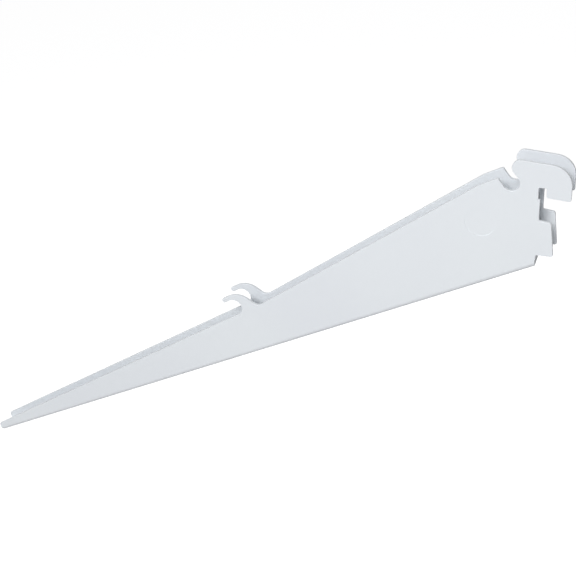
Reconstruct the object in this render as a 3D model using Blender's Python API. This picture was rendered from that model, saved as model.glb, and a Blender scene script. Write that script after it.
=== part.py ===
"""Slotted shelf bracket: one stamped steel blank, folded along two lines into a sloping channel.

Mounted frame, in metres: X points back into the upright, Y runs across the bracket and Z up.
The origin is where the neck of the rear hook sits on the lower edge of its slot, in the
upright's front face, on the bracket's middle plane.
"""

from math import acos, atan2, ceil, cos, pi, radians, sin, tan

import bmesh
import bpy
from mathutils import Vector

# Sheet and channel
SHEET = 0.0015              # thickness of the steel
WIDTH = 0.0120              # across the two walls, outside
FOLD_INSIDE = 0.0010        # inside radius of each fold
EDGE_ROUND = 0.00025        # rounding of every cut edge under the paint
CHANNEL_LENGTH = 0.3362     # along the underside, front end to heel
UNDERSIDE_SLOPE = radians(27.0)
FRONT_HEIGHT = 0.0051       # wall at the front end, square to the underside
FRONT_RAKE = 0.0009         # the front edge leans back from the fold to the top
FRONT_CORNER = 0.0010
REAR_HEIGHT = 0.0415        # wall beside the rear rod, square to the underside
REAR_TOP_RISE = radians(8.5)    # rear half of the top edge, against the underside

# Seats for the two rods of the shelf
REAR_ROD_AHEAD = 0.0115     # rod centre ahead of the upright's face
REAR_ROD_ABOVE = 0.00105    # rod centre above the slot's lower edge
ROD_SPACING = 0.1497
SHELF_SLOPE = radians(31.48)
REAR_SEAT_RADIUS = 0.0034
FRONT_SEAT_RADIUS = 0.00405

# Rear seat: a lip in front of the rod and a beak that leans over it
LIP_FLANK = radians(215.0)  # where the lip's flank leaves the seat
LIP_LAND = 0.0087           # level stretch of the top edge that ends in the lip
LIP_LAND_ROUND = 0.0100
LIP_ROUND = 0.0007
BEAK_FLANK = radians(400.0) # where the beak's underside leaves the seat
BEAK_ROUND = 0.0034

# Front seat: a finger that curls forward over the rod
FINGER_INSIDE_END = radians(481.0)  # where the finger's underside leaves the seat
FINGER_STRAIGHT = 0.0036
FINGER_TIP = 0.0023         # thickness, even as far as the seat
FINGER_TIP_ROUND = 0.00095
FINGER_BACK_RADIUS = 0.0096 # wider than the seat's, which thickens the root
FINGER_BACK_SHIFT = 0.00085 # the back starts to bend this far behind the seat's end
FINGER_BACK_END = radians(414.0)    # where the back runs out straight
FINGER_VALLEY_ROUND = 0.0038

# Hook behind the upright
HOOK_REACH = 0.0118
HOOK_TOP = 0.0103           # over the slot's lower edge, in the plane of the upright's face
HOOK_TOP_FALL = radians(5.3)
HOOK_CROWN = 0.0084
HOOK_DROP = 0.00487
HOOK_FOOT_RISE = radians(5.0)
HOOK_CORNER = 0.0008
UPRIGHT_GAP = 0.00215       # the upright's sheet with its clearance
UPRIGHT_GAP_FLARE = 0.0002  # wider at the foot, so that the hook finds the sheet
NECK_RELIEF = 0.00075       # set back over the contact edge
NECK_RELIEF_HEIGHT = 0.0051

# Lug that enters the slot below
LUG_TOP = 0.0143            # under the slot's lower edge
LUG_HEIGHT = 0.0157
LUG_REACH = 0.0049
LUG_FLARE = 0.0015          # further back at the bottom
LUG_TOP_FALL = radians(8.0)
LUG_TOP_CORNER = 0.0012
LUG_BOTTOM_CORNER = 0.0008
STAMPED_CORNER = 0.0004     # every other corner of the blank
RELIEF_CORNER = 0.0002
LUG_ROOT_SETBACK = 0.0004   # the rear edge under the lug stands clear of the upright
HEEL_SETBACK = 0.0010
HEEL_DROP = 0.03605         # heel of the underside under the slot's lower edge

# Plain coined disc on the near wall
COIN_RADIUS = 0.0064
COIN_DEPTH = 0.00012
COIN_AHEAD = 0.0232
COIN_BELOW = 0.0174

# Fineness of the model
CHORD_ERROR = 0.00002       # between a round stretch and its straight steps
FOLD_STEPS = 8
EDGE_STEPS = 2
COIN_SIDES = 48
WELD = 0.000001
FLAT = radians(0.1)         # faces closer than this are one flat face
CUT_EDGE = radians(60)      # a cut edge turns by more than this
SMOOTH = radians(35)        # a sharper edge than this is drawn sharp

PAINT = (0.80, 0.83, 0.86, 1.0)
PAINT_ROUGHNESS = 0.42

FOLD_OUTSIDE = FOLD_INSIDE + SHEET
FOLD_MIDDLE = FOLD_INSIDE + SHEET / 2
HALF_WEB = WIDTH / 2 - FOLD_OUTSIDE
FOLD_RUN = FOLD_MIDDLE * pi / 2

REAR_ROD = Vector((-REAR_ROD_AHEAD, REAR_ROD_ABOVE))
FRONT_ROD = REAR_ROD - ROD_SPACING * Vector((cos(SHELF_SLOPE), sin(SHELF_SLOPE)))
HEEL = Vector((-HEEL_SETBACK, -HEEL_DROP))
ALONG = Vector((cos(UNDERSIDE_SLOPE), sin(UNDERSIDE_SLOPE)))
SQUARE = Vector((-ALONG.y, ALONG.x))


def aim(angle):
    """Unit vector at an angle from X towards Z."""
    return Vector((cos(angle), sin(angle)))


def crossing(start, direction, other, other_direction):
    """Where two lines in the wall's plane cross."""
    share = (other - start).cross(other_direction) / direction.cross(other_direction)
    return start + share * direction


def round_steps(radius, turn):
    """Straight steps that keep a round stretch within the chord error."""
    largest = 2 * acos(1 - CHORD_ERROR / radius)
    return max(2, ceil(abs(turn) / largest))


def arc(centre, radius, start, end):
    steps = round_steps(radius, end - start)
    return [centre + radius * aim(start + (end - start) * i / steps) for i in range(steps + 1)]


def fillet(before, corner, after, radius):
    """The arc that rounds one corner."""
    back = (before - corner).normalized()
    on = (after - corner).normalized()
    half = back.angle(on) / 2
    centre = corner + (back + on).normalized() * radius / sin(half)
    first = corner + back * radius / tan(half) - centre
    last = corner + on * radius / tan(half) - centre
    start = atan2(first.y, first.x)
    turn = atan2(first.cross(last), first.dot(last))
    return arc(centre, radius, start, start + turn)


def rounded(corners):
    """Points of a path given as (corner, radius) pairs. A corner of radius 0 stays as it is."""
    points = [corners[0][0]]
    for (before, _), (corner, radius), (after, _) in zip(corners, corners[1:], corners[2:]):
        points += fillet(before, corner, after, radius) if radius else [corner]
    points.append(corners[-1][0])
    return points


def plain(points):
    return [(point, 0) for point in points]


def on_wall(along, square):
    """A point by its place along the underside, from the heel, and square to it."""
    return HEEL + along * ALONG + square * SQUARE


def front_top():
    """The upper corner of the front end, where the top edge starts."""
    return on_wall(FRONT_RAKE - CHANNEL_LENGTH, FRONT_HEIGHT)


def front_end():
    return [(on_wall(-CHANNEL_LENGTH, FOLD_OUTSIDE), 0), (front_top(), FRONT_CORNER)]


def front_seat():
    """The seat that the top edge runs into, and the finger that curls over it."""
    away = front_top() - FRONT_ROD
    touch = atan2(away.y, away.x) + acos(FRONT_SEAT_RADIUS / away.length)
    seat = arc(FRONT_ROD, FRONT_SEAT_RADIUS, touch % (2 * pi), FINGER_INSIDE_END)
    underside = seat[-1] + FINGER_STRAIGHT * aim(FINGER_INSIDE_END + pi / 2)
    end = underside + FINGER_TIP * aim(FINGER_INSIDE_END)

    offset = FRONT_SEAT_RADIUS + FINGER_TIP - FINGER_BACK_RADIUS
    shift = FINGER_BACK_SHIFT * aim(FINGER_INSIDE_END - pi / 2)
    centre = FRONT_ROD + offset * aim(FINGER_INSIDE_END) + shift
    back = arc(centre, FINGER_BACK_RADIUS, FINGER_INSIDE_END, FINGER_BACK_END)

    valley = crossing(back[-1], aim(FINGER_BACK_END - pi / 2), rear_top_start(), rear_top_aim())
    tip = [(underside, FINGER_TIP_ROUND), (end, FINGER_TIP_ROUND)]
    return plain(seat) + tip + plain(back) + [(valley, FINGER_VALLEY_ROUND)]


def lip():
    """Top of the lip, where its flank meets the top edge."""
    foot = REAR_ROD + REAR_SEAT_RADIUS * aim(LIP_FLANK)
    return crossing(foot, aim(LIP_FLANK - pi / 2), on_wall(0, REAR_HEIGHT), ALONG)


def rear_top_start():
    return lip() - LIP_LAND * ALONG


def rear_top_aim():
    return aim(UNDERSIDE_SLOPE + REAR_TOP_RISE)


def hook_top(x):
    """A point of the hook's top edge."""
    return Vector((x, HOOK_TOP - x * tan(HOOK_TOP_FALL)))


def rear_seat():
    """The top edge behind the finger, the lip, the rear seat and the beak."""
    seat = arc(REAR_ROD, REAR_SEAT_RADIUS, LIP_FLANK, BEAK_FLANK)
    along_top = hook_top(HOOK_REACH) - hook_top(0)
    beak = crossing(seat[-1], aim(BEAK_FLANK + pi / 2), hook_top(0), along_top)
    land = [(rear_top_start(), LIP_LAND_ROUND), (lip(), LIP_ROUND)]
    return land + plain(seat) + [(beak, BEAK_ROUND)]


def slot_hook():
    """The hook that drops behind the upright, and the neck that sits in the slot."""
    gap_foot = UPRIGHT_GAP + UPRIGHT_GAP_FLARE
    foot_rise = (HOOK_REACH - gap_foot) * tan(HOOK_FOOT_RISE)
    return [
        (hook_top(HOOK_REACH), HOOK_CROWN),
        (Vector((HOOK_REACH, -HOOK_DROP)), HOOK_CORNER),
        (Vector((gap_foot, foot_rise - HOOK_DROP)), HOOK_CORNER),
        (Vector((UPRIGHT_GAP, 0)), STAMPED_CORNER),
        (Vector((-NECK_RELIEF, 0)), RELIEF_CORNER),
        (Vector((-NECK_RELIEF, -NECK_RELIEF_HEIGHT)), RELIEF_CORNER),
        (Vector((0, -NECK_RELIEF_HEIGHT)), STAMPED_CORNER),
    ]


def lug():
    """The contact edge and the lug under it."""
    bottom = -LUG_TOP - LUG_HEIGHT
    return [
        (Vector((0, -LUG_TOP)), STAMPED_CORNER),
        (Vector((LUG_REACH, -LUG_TOP - LUG_REACH * tan(LUG_TOP_FALL))), LUG_TOP_CORNER),
        (Vector((LUG_REACH + LUG_FLARE, bottom)), LUG_BOTTOM_CORNER),
        (Vector((-LUG_ROOT_SETBACK, bottom)), STAMPED_CORNER),
    ]


def to_channel(point):
    """Along the underside from the heel, and square to it."""
    return Vector(((point - HEEL).dot(ALONG), (point - HEEL).dot(SQUARE)))


def blank_outline():
    """The flat blank: along the underside, and across it from the middle line."""
    corners = front_end() + front_seat() + rear_seat() + slot_hook() + lug()
    heel_line = to_channel(corners[-1][0])
    heel_start = on_wall(heel_line.x * FOLD_OUTSIDE / heel_line.y, FOLD_OUTSIDE)
    wall = [to_channel(point) for point in rounded(corners + [(heel_start, 0)])]
    side = [Vector((p.x, HALF_WEB + FOLD_RUN + p.y - FOLD_OUTSIDE)) for p in wall]
    for step in range(FOLD_STEPS - 1, -1, -1):
        turn = pi / 2 * step / FOLD_STEPS
        height = FOLD_OUTSIDE - FOLD_MIDDLE * cos(turn)
        side.append(Vector((heel_line.x * height / heel_line.y, HALF_WEB + FOLD_MIDDLE * turn)))
    return side + [Vector((p.x, -p.y)) for p in reversed(side)]


def flat_blank(collection):
    """The stamped sheet before folding, its cut edges still sharp."""
    points = blank_outline()
    curve = bpy.data.curves.new("blank_outline", "CURVE")
    curve.dimensions = "2D"
    curve.fill_mode = "BOTH"
    curve.extrude = SHEET / 2
    spline = curve.splines.new("POLY")
    spline.points.add(len(points) - 1)
    for place, point in zip(spline.points, points):
        place.co = (point.x, point.y, 0, 1)
    spline.use_cyclic_u = True

    drawn = bpy.data.objects.new("blank_outline", curve)
    collection.objects.link(drawn)
    depsgraph = bpy.context.evaluated_depsgraph_get()
    mesh = bpy.data.meshes.new_from_object(drawn.evaluated_get(depsgraph))
    bpy.data.objects.remove(drawn)
    bpy.data.curves.remove(curve)
    return mesh


def fold_point(point):
    """Where a point of the flat blank goes when both walls are folded up."""
    side = 1 if point.y > 0 else -1
    out = abs(point.y) - HALF_WEB
    if out <= 0:
        return Vector((point.x, point.y, point.z + SHEET / 2))
    turn = min(out / FOLD_MIDDLE, pi / 2)
    radius = FOLD_MIDDLE - point.z
    up_wall = max(0, out - FOLD_RUN)
    y = HALF_WEB + radius * sin(turn)
    z = FOLD_OUTSIDE - radius * cos(turn) + up_wall
    return Vector((point.x, side * y, z))


def round_edges(shape):
    """Welds the blank to one body and rounds its cut edges on both faces."""
    bmesh.ops.remove_doubles(shape, verts=shape.verts, dist=WELD)
    bmesh.ops.recalc_face_normals(shape, faces=shape.faces)
    bmesh.ops.dissolve_limit(shape, angle_limit=FLAT, verts=shape.verts, edges=shape.edges)
    cut_edges = [edge for edge in shape.edges if edge.calc_face_angle() > CUT_EDGE]
    bmesh.ops.bevel(
        shape,
        geom=cut_edges,
        offset=EDGE_ROUND,
        segments=EDGE_STEPS,
        profile=0.5,
        affect="EDGES",
    )


def fold(shape):
    """Scores the blank across both folds, then folds it."""
    for side in (-1, 1):
        for step in range(FOLD_STEPS + 1):
            across = side * (HALF_WEB + FOLD_RUN * step / FOLD_STEPS)
            bmesh.ops.bisect_plane(
                shape,
                geom=shape.verts[:] + shape.edges[:] + shape.faces[:],
                dist=WELD,
                plane_co=(0, across, 0),
                plane_no=(0, 1, 0),
            )
    for vertex in shape.verts:
        vertex.co = fold_point(vertex.co)


def paint():
    material = bpy.data.materials.new("white_paint")
    material.use_nodes = True
    shader = material.node_tree.nodes["Principled BSDF"]
    shader.inputs["Base Color"].default_value = PAINT
    shader.inputs["Roughness"].default_value = PAINT_ROUGHNESS
    shader.inputs["Metallic"].default_value = 0.0
    return material


def coin_cutter(collection):
    """A short cylinder that presses the plain disc into the near wall."""
    mesh = bpy.data.meshes.new("coin_cutter")
    shape = bmesh.new()
    bmesh.ops.create_cone(
        shape,
        cap_ends=True,
        segments=COIN_SIDES,
        radius1=COIN_RADIUS,
        radius2=COIN_RADIUS,
        depth=2 * SHEET,
    )
    shape.to_mesh(mesh)
    shape.free()
    cutter = bpy.data.objects.new("coin_cutter", mesh)
    cutter.rotation_euler = (pi / 2, 0, 0)
    cutter.location = (-COIN_AHEAD, COIN_DEPTH - WIDTH / 2 - SHEET, -COIN_BELOW)
    cutter.hide_render = True
    cutter.display_type = "WIRE"
    collection.objects.link(cutter)
    return cutter


def make_bracket(collection, cutters):
    mesh = flat_blank(collection)
    shape = bmesh.new()
    shape.from_mesh(mesh)
    round_edges(shape)
    fold(shape)
    shape.to_mesh(mesh)
    shape.free()
    mesh.name = "bracket"
    bracket = bpy.data.objects.new("bracket", mesh)
    bracket.location = (HEEL.x, 0, HEEL.y)
    bracket.rotation_euler = (0, -UNDERSIDE_SLOPE, 0)
    mesh.materials.append(paint())
    collection.objects.link(bracket)

    coin = bracket.modifiers.new("coin", "BOOLEAN")
    coin.operation = "DIFFERENCE"
    coin.object = coin_cutter(cutters)
    mesh.shade_smooth()
    mesh.set_sharp_from_angle(angle=SMOOTH)


def main():
    for old in list(bpy.data.objects):
        bpy.data.objects.remove(old)
    parts = bpy.data.collections.new("slotted_shelf_bracket")
    cutters = bpy.data.collections.new("cutters")
    bpy.context.scene.collection.children.link(parts)
    bpy.context.scene.collection.children.link(cutters)
    make_bracket(parts, cutters)


main()
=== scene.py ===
"""White slotted shelf bracket in plain soft studio light, seen as in the photograph."""

from math import radians

import bmesh
import bpy
from mathutils import Matrix, Vector


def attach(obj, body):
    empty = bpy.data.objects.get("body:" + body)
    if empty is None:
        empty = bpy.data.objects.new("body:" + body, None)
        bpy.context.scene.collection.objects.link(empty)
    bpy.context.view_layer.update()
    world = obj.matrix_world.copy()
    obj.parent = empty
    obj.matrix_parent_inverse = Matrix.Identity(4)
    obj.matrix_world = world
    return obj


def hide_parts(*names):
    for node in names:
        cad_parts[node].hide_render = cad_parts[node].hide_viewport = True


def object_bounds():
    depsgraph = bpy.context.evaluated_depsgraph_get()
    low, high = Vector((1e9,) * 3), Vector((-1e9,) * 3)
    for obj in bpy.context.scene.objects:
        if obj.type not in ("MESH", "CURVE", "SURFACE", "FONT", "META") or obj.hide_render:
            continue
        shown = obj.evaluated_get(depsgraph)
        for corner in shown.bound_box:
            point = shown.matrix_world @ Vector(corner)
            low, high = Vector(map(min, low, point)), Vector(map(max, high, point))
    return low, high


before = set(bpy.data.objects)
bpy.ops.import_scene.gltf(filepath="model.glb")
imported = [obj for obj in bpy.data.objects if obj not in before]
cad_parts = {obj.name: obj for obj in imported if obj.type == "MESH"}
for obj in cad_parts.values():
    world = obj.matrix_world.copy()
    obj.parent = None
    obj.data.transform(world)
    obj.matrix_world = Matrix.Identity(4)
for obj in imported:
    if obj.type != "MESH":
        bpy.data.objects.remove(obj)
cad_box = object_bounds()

# Camera, in metres and in the frame of the upright. The photograph is 576 pixels square.
CAMERA_PLACE = Vector((0.04725, -0.36472, 0.17501))
CAMERA_HEADING = radians(23.719)    # from +Y towards -X
CAMERA_DOWN = radians(31.154)
CAMERA_ROLL = radians(4.980)        # the picture's top leans to the left
PHOTO_SIDE = 576
FOCAL_PIXELS = 1000
SENSOR = 36.0                       # in millimetres, as the lens is
NEAR_CLIP = 0.01

# Mesh of the finished sheet
WELD = 0.000001             # points closer than this are one point
FLAT = radians(0.1)         # faces closer than this are one flat face
SMOOTH = radians(35)        # a sharper corner stays an edge

# White powder coat. Each scale is in noise cells to the metre.
PAINT = (0.80, 0.835, 0.865)
PAINT_DEEPER = (0.775, 0.805, 0.845)
PAINT_SPECULAR = 0.45
TINT_SCALE = 14.0
TINT_DETAIL = 1.0
ROUGHNESS_LOW = 0.36
ROUGHNESS_HIGH = 0.46
ROUGHNESS_SCALE = 60.0
ROUGHNESS_DETAIL = 3.0
PEEL_SCALE = 620.0
PEEL_DETAIL = 1.0
PEEL_DEPTH = 0.000012
GRAIN_SCALE = 2600.0
GRAIN_DETAIL = 2.0
GRAIN_DEPTH = 0.000003
NOISE_LOW = 0.3             # most of the noise lies between these two
NOISE_HIGH = 0.7

# Studio
WHITE = (1, 1, 1)
FLOOR_DROP = 0.45           # floor below the bracket's lowest point
FLOOR_SIZE = 8.0
FLOOR_COLOUR = (0.55, 0.55, 0.56)
FLOOR_ROUGHNESS = 0.9
FLOOR_LIFT = 0.87           # what is seen above the lit floor's own colour
BACKDROP = 1.0              # the world where it is seen
WORLD_LIGHT = 0.187         # the world where it lights things
SOFT_BOX_AIM = Vector((-0.03, 0.0, -0.01))
KEY_PLACE = Vector((-0.15, -1.05, 0.80))
KEY_SIZE = 0.55
KEY_POWER = 13.7
FILL_PLACE = Vector((-0.10, -1.00, 0.30))
FILL_SIZE = 1.5
FILL_POWER = 2.5
BACK_PLACE = Vector((-0.10, 1.20, 0.10))
BACK_SIZE = 0.8
BACK_POWER = 7.5


def node_of(tree, kind, **values):
    """A new node with its named inputs set. An underscore stands for a space."""
    node = tree.nodes.new(kind)
    for name, value in values.items():
        node.inputs[name.replace("_", " ")].default_value = value
    return node


def noise(tree, scale, detail):
    """Noise in the object's own coordinates."""
    place = tree.nodes.new("ShaderNodeTexCoord")
    texture = node_of(tree, "ShaderNodeTexNoise", Scale=scale, Detail=detail)
    tree.links.new(place.outputs["Object"], texture.inputs["Vector"])
    return texture.outputs["Fac"]


def colours_between(tree, fac, low, high):
    """One colour where the noise is low, and another where it is high."""
    ramp = tree.nodes.new("ShaderNodeValToRGB")
    ends = ((NOISE_LOW, low), (NOISE_HIGH, high))
    for stop, (position, colour) in zip(ramp.color_ramp.elements, ends):
        stop.position = position
        stop.color = (*colour, 1)
    tree.links.new(fac, ramp.inputs["Fac"])
    return ramp.outputs["Color"]


def spread(tree, fac, low, high, fac_low=0.0, fac_high=1.0):
    """low where the factor is fac_low, and high where it is fac_high."""
    scaled = node_of(tree, "ShaderNodeMapRange",
                     From_Min=fac_low, From_Max=fac_high, To_Min=low, To_Max=high)
    tree.links.new(fac, scaled.inputs["Value"])
    return scaled.outputs["Result"]


def bumped(tree, height, depth, under=None):
    bump = node_of(tree, "ShaderNodeBump", Strength=1.0, Distance=depth)
    tree.links.new(height, bump.inputs["Height"])
    if under:
        tree.links.new(under, bump.inputs["Normal"])
    return bump.outputs["Normal"]


def powder_coat():
    """White powder coat: a faint orange peel, a fine grain and an even satin gloss."""
    material = bpy.data.materials.new("white_paint")
    material.use_nodes = True
    tree = material.node_tree
    shader = tree.nodes["Principled BSDF"]
    shader.inputs["Metallic"].default_value = 0.0
    shader.inputs["Specular IOR Level"].default_value = PAINT_SPECULAR

    tint = colours_between(tree, noise(tree, TINT_SCALE, TINT_DETAIL), PAINT_DEEPER, PAINT)
    tree.links.new(tint, shader.inputs["Base Color"])
    gloss = spread(tree, noise(tree, ROUGHNESS_SCALE, ROUGHNESS_DETAIL),
                   ROUGHNESS_LOW, ROUGHNESS_HIGH, NOISE_LOW, NOISE_HIGH)
    tree.links.new(gloss, shader.inputs["Roughness"])
    peel = bumped(tree, noise(tree, PEEL_SCALE, PEEL_DETAIL), PEEL_DEPTH)
    grain = bumped(tree, noise(tree, GRAIN_SCALE, GRAIN_DETAIL), GRAIN_DEPTH, peel)
    tree.links.new(grain, shader.inputs["Normal"])
    return material


def finished_bracket(node):
    """The folded sheet with its flats, folds and rounded edges drawn as smooth faces."""
    mesh = node.data.copy()
    mesh.name = "painted_bracket"
    shape = bmesh.new()
    shape.from_mesh(mesh)
    bmesh.ops.remove_doubles(shape, verts=shape.verts, dist=WELD)
    bmesh.ops.dissolve_limit(shape, angle_limit=FLAT, verts=shape.verts, edges=shape.edges)
    shape.to_mesh(mesh)
    shape.free()
    mesh.materials.clear()
    mesh.materials.append(powder_coat())
    mesh.shade_smooth()
    mesh.set_sharp_from_angle(angle=SMOOTH)

    piece = bpy.data.objects.new("painted_bracket", mesh)
    bpy.context.scene.collection.objects.link(piece)
    weighted = piece.modifiers.new("flat_faces_lead", "WEIGHTED_NORMAL")
    weighted.mode = "FACE_AREA"
    weighted.keep_sharp = True
    return piece


def seen_directly(tree):
    """1 for camera, glossy and transmission rays, and 0 for the rays that light things."""
    path = tree.nodes.new("ShaderNodeLightPath")
    seen = path.outputs["Is Camera Ray"]
    for name in ("Is Glossy Ray", "Is Transmission Ray"):
        either = tree.nodes.new("ShaderNodeMath")
        either.operation = "MAXIMUM"
        tree.links.new(seen, either.inputs[0])
        tree.links.new(path.outputs[name], either.inputs[1])
        seen = either.outputs["Value"]
    return seen


def make_world():
    """A white backdrop that gives only a little light."""
    world = bpy.data.worlds.new("studio")
    world.use_nodes = True
    tree = world.node_tree
    background = tree.nodes["Background"]
    background.inputs["Color"].default_value = (*WHITE, 1)
    strength = spread(tree, seen_directly(tree), WORLD_LIGHT, BACKDROP)
    tree.links.new(strength, background.inputs["Strength"])
    bpy.context.scene.world = world


def make_floor():
    """A pale floor that looks white where it is lit, and still shows the bracket's shadow."""
    level = cad_box[0].z - FLOOR_DROP
    bpy.ops.mesh.primitive_plane_add(size=FLOOR_SIZE, location=(0, 0, level))
    floor = bpy.context.object
    floor.name = "studio_floor"
    material = bpy.data.materials.new("studio_floor")
    material.use_nodes = True
    tree = material.node_tree
    shader = tree.nodes["Principled BSDF"]
    shader.inputs["Base Color"].default_value = (*FLOOR_COLOUR, 1)
    shader.inputs["Roughness"].default_value = FLOOR_ROUGHNESS
    shader.inputs["Specular IOR Level"].default_value = 0.0
    shader.inputs["Emission Color"].default_value = (*WHITE, 1)
    lift = spread(tree, seen_directly(tree), 0.0, FLOOR_LIFT)
    tree.links.new(lift, shader.inputs["Emission Strength"])
    floor.data.materials.append(material)


def make_soft_box(name, place, size, power, mirrored=True):
    """A square soft box that looks at the bracket's rear end."""
    data = bpy.data.lights.new(name, "AREA")
    data.shape = "SQUARE"
    data.size = size
    data.energy = power
    lamp = bpy.data.objects.new(name, data)
    lamp.location = place
    lamp.rotation_euler = (SOFT_BOX_AIM - place).to_track_quat("-Z", "Y").to_euler()
    lamp.visible_glossy = mirrored
    bpy.context.scene.collection.objects.link(lamp)


def make_camera():
    data = bpy.data.cameras.new("camera")
    data.sensor_width = SENSOR
    data.lens = FOCAL_PIXELS / PHOTO_SIDE * SENSOR
    data.clip_start = NEAR_CLIP
    camera = bpy.data.objects.new("camera", data)
    heading = Matrix.Rotation(CAMERA_HEADING, 4, "Z")
    tilt = Matrix.Rotation(radians(90) - CAMERA_DOWN, 4, "X")
    roll = Matrix.Rotation(-CAMERA_ROLL, 4, "Z")
    camera.matrix_world = Matrix.Translation(CAMERA_PLACE) @ heading @ tilt @ roll
    bpy.context.scene.collection.objects.link(camera)
    bpy.context.scene.camera = camera


def main():
    bpy.context.scene.view_settings.view_transform = "Standard"
    make_camera()
    make_world()
    make_floor()
    make_soft_box("key", KEY_PLACE, KEY_SIZE, KEY_POWER)
    make_soft_box("fill", FILL_PLACE, FILL_SIZE, FILL_POWER)
    # The back light keeps the far wall pale, and draws no bright line on the cut edges.
    make_soft_box("back", BACK_PLACE, BACK_SIZE, BACK_POWER, mirrored=False)
    bracket = finished_bracket(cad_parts["bracket"])
    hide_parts("bracket")
    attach(bracket, "root")


main()
